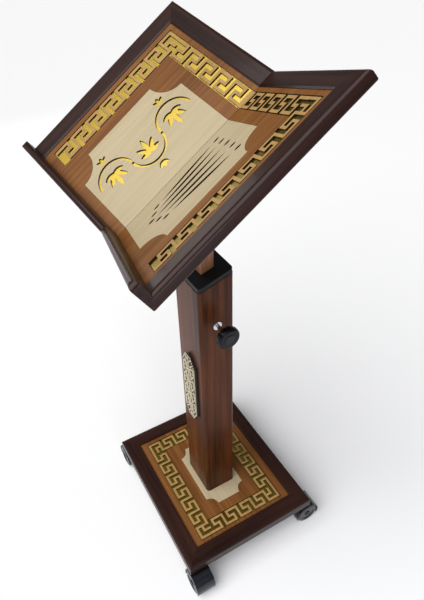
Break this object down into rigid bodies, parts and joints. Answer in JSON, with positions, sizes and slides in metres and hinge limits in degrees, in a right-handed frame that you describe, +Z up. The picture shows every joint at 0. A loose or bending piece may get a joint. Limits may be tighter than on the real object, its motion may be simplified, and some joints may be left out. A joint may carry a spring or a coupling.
{
  "type": "adjustable book stand",
  "caption": "Tall reading stand: a castored framed base, a column with a clamped sliding post, and a V-shaped two-leaf rest with page stops and pierced inlay.",
  "frame": {"origin": "point on the floor under the column's axis, at the centre of the base", "axes": "+Z up, the reader stands at -Y and looks along +Y, +X on the reader's right"},
  "size_m": [0.6148, 0.5053, 1.3586],
  "materials": {
    "dark_wood": "dark espresso stain under gloss lacquer",
    "column_wood": "dark reddish-brown stain under gloss lacquer, vertical grain",
    "caramel_panel": "caramel veneer, satin",
    "pale_inlay": "pale inlay line, satin",
    "ivory": "ivory-coloured veneer, satin",
    "gold_sheet": "gold mirror-finish sheet",
    "board": "plain board, matt brown",
    "natural_wood": "natural light-brown wood, satin",
    "black_cap": "satin black",
    "carved_ivory": "carved and painted ivory, shaded in the hollows",
    "black_rim": "black lacquer",
    "chrome": "polished",
    "black_plastic": "gloss black",
    "steel": "zinc plated",
    "black_metal": "satin black powder coat"
  },
  "bodies": {
    "stand": {"base_front_rail": "dark_wood", "base_back_rail": "dark_wood", "base_left_rail": "dark_wood", "base_right_rail": "dark_wood", "column_front_board": "column_wood", "column_back_board": "column_wood", "column_left_board": "column_wood", "column_right_board": "column_wood", "base_margin_panel": "caramel_panel", "base_field_panel": "caramel_panel", "base_key_border": "pale_inlay", "base_medallion": "ivory", "base_gold_sheet": "gold_sheet", "base_core_board": "board", "post_guide_block": "board", "column_cap": "black_cap", "column_plaque": "carved_ivory", "plaque_back_plate": "black_rim", "clamp_insert": "chrome", "base_screws": "steel", "caster_plates": "steel"},
    "rest": {"inner_post": "natural_wood", "post_shoe": "board", "head_socket": "dark_wood", "head_plate": "black_metal", "head_screws": "steel", "rest_keel": "dark_wood", "leaf_gold_sheets": "gold_sheet", "leaf_key_borders": "pale_inlay", "left_leaf_top_rail": "dark_wood", "left_leaf_side_rail": "dark_wood", "left_page_stop": "dark_wood", "left_leaf_panel": "caramel_panel", "left_leaf_medallion": "ivory", "left_leaf_back_board": "board", "right_leaf_top_rail": "dark_wood", "right_leaf_side_rail": "dark_wood", "right_page_stop": "dark_wood", "right_leaf_panel": "caramel_panel", "right_leaf_medallion": "ivory", "right_leaf_back_board": "board"},
    "clamp_pad": {"clamp_pad": "black_plastic"},
    "clamp_screw": {"clamp_stud": "chrome", "clamp_knob": "black_plastic"},
    "caster_1_swivel": {"caster_1_hood": "black_plastic", "caster_1_axle": "steel"},
    "caster_1_wheel_a_body": {"caster_1_wheel_a": "black_plastic"},
    "caster_1_wheel_b_body": {"caster_1_wheel_b": "black_plastic"},
    "caster_2_swivel": {"caster_2_hood": "black_plastic", "caster_2_axle": "steel"},
    "caster_2_wheel_a_body": {"caster_2_wheel_a": "black_plastic"},
    "caster_2_wheel_b_body": {"caster_2_wheel_b": "black_plastic"},
    "caster_3_swivel": {"caster_3_hood": "black_plastic", "caster_3_axle": "steel"},
    "caster_3_wheel_a_body": {"caster_3_wheel_a": "black_plastic"},
    "caster_3_wheel_b_body": {"caster_3_wheel_b": "black_plastic"},
    "caster_4_swivel": {"caster_4_hood": "black_plastic", "caster_4_axle": "steel"},
    "caster_4_wheel_a_body": {"caster_4_wheel_a": "black_plastic"},
    "caster_4_wheel_b_body": {"caster_4_wheel_b": "black_plastic"}
  },
  "joints": [
    {"name": "post_slide", "type": "slide", "parent": "stand", "child": "rest", "axis": [0, 0, 1], "range_m": [-0.12, 0.24]},
    {"name": "clamp_travel", "type": "slide", "parent": "stand", "child": "clamp_pad", "axis": [1, 0, 0], "range_m": [0, 0.0031]},
    {"name": "clamp_turn", "type": "hinge", "parent": "clamp_pad", "child": "clamp_screw", "pos_m": [0.1, 0, 0.754], "axis": [1, 0, 0], "range_deg": [0, 720]},
    {"name": "caster_1_swivel_joint", "type": "hinge", "parent": "stand", "child": "caster_1_swivel", "pos_m": [0.208, -0.172, 0.06], "axis": [0, 0, 1], "continuous": true},
    {"name": "caster_1_wheel_a_roll", "type": "hinge", "parent": "caster_1_swivel", "child": "caster_1_wheel_a_body", "pos_m": [0.234, -0.172, 0.033], "axis": [0, 1, 0], "continuous": true},
    {"name": "caster_1_wheel_b_roll", "type": "hinge", "parent": "caster_1_swivel", "child": "caster_1_wheel_b_body", "pos_m": [0.234, -0.172, 0.033], "axis": [0, 1, 0], "continuous": true},
    {"name": "caster_2_swivel_joint", "type": "hinge", "parent": "stand", "child": "caster_2_swivel", "pos_m": [-0.208, -0.172, 0.06], "axis": [0, 0, 1], "continuous": true},
    {"name": "caster_2_wheel_a_roll", "type": "hinge", "parent": "caster_2_swivel", "child": "caster_2_wheel_a_body", "pos_m": [-0.234, -0.172, 0.033], "axis": [0, -1, 0], "continuous": true},
    {"name": "caster_2_wheel_b_roll", "type": "hinge", "parent": "caster_2_swivel", "child": "caster_2_wheel_b_body", "pos_m": [-0.234, -0.172, 0.033], "axis": [0, -1, 0], "continuous": true},
    {"name": "caster_3_swivel_joint", "type": "hinge", "parent": "stand", "child": "caster_3_swivel", "pos_m": [0.208, 0.172, 0.06], "axis": [0, 0, 1], "continuous": true},
    {"name": "caster_3_wheel_a_roll", "type": "hinge", "parent": "caster_3_swivel", "child": "caster_3_wheel_a_body", "pos_m": [0.208, 0.198, 0.033], "axis": [-1, 0, 0], "continuous": true},
    {"name": "caster_3_wheel_b_roll", "type": "hinge", "parent": "caster_3_swivel", "child": "caster_3_wheel_b_body", "pos_m": [0.208, 0.198, 0.033], "axis": [-1, 0, 0], "continuous": true},
    {"name": "caster_4_swivel_joint", "type": "hinge", "parent": "stand", "child": "caster_4_swivel", "pos_m": [-0.208, 0.172, 0.06], "axis": [0, 0, 1], "continuous": true},
    {"name": "caster_4_wheel_a_roll", "type": "hinge", "parent": "caster_4_swivel", "child": "caster_4_wheel_a_body", "pos_m": [-0.234, 0.172, 0.033], "axis": [0, -1, 0], "continuous": true},
    {"name": "caster_4_wheel_b_roll", "type": "hinge", "parent": "caster_4_swivel", "child": "caster_4_wheel_b_body", "pos_m": [-0.234, 0.172, 0.033], "axis": [0, -1, 0], "continuous": true}
  ],
  "couplings": [
    {"joint": "clamp_travel", "follows": "clamp_turn", "m_per_rad": 0.00023873}
  ]
}
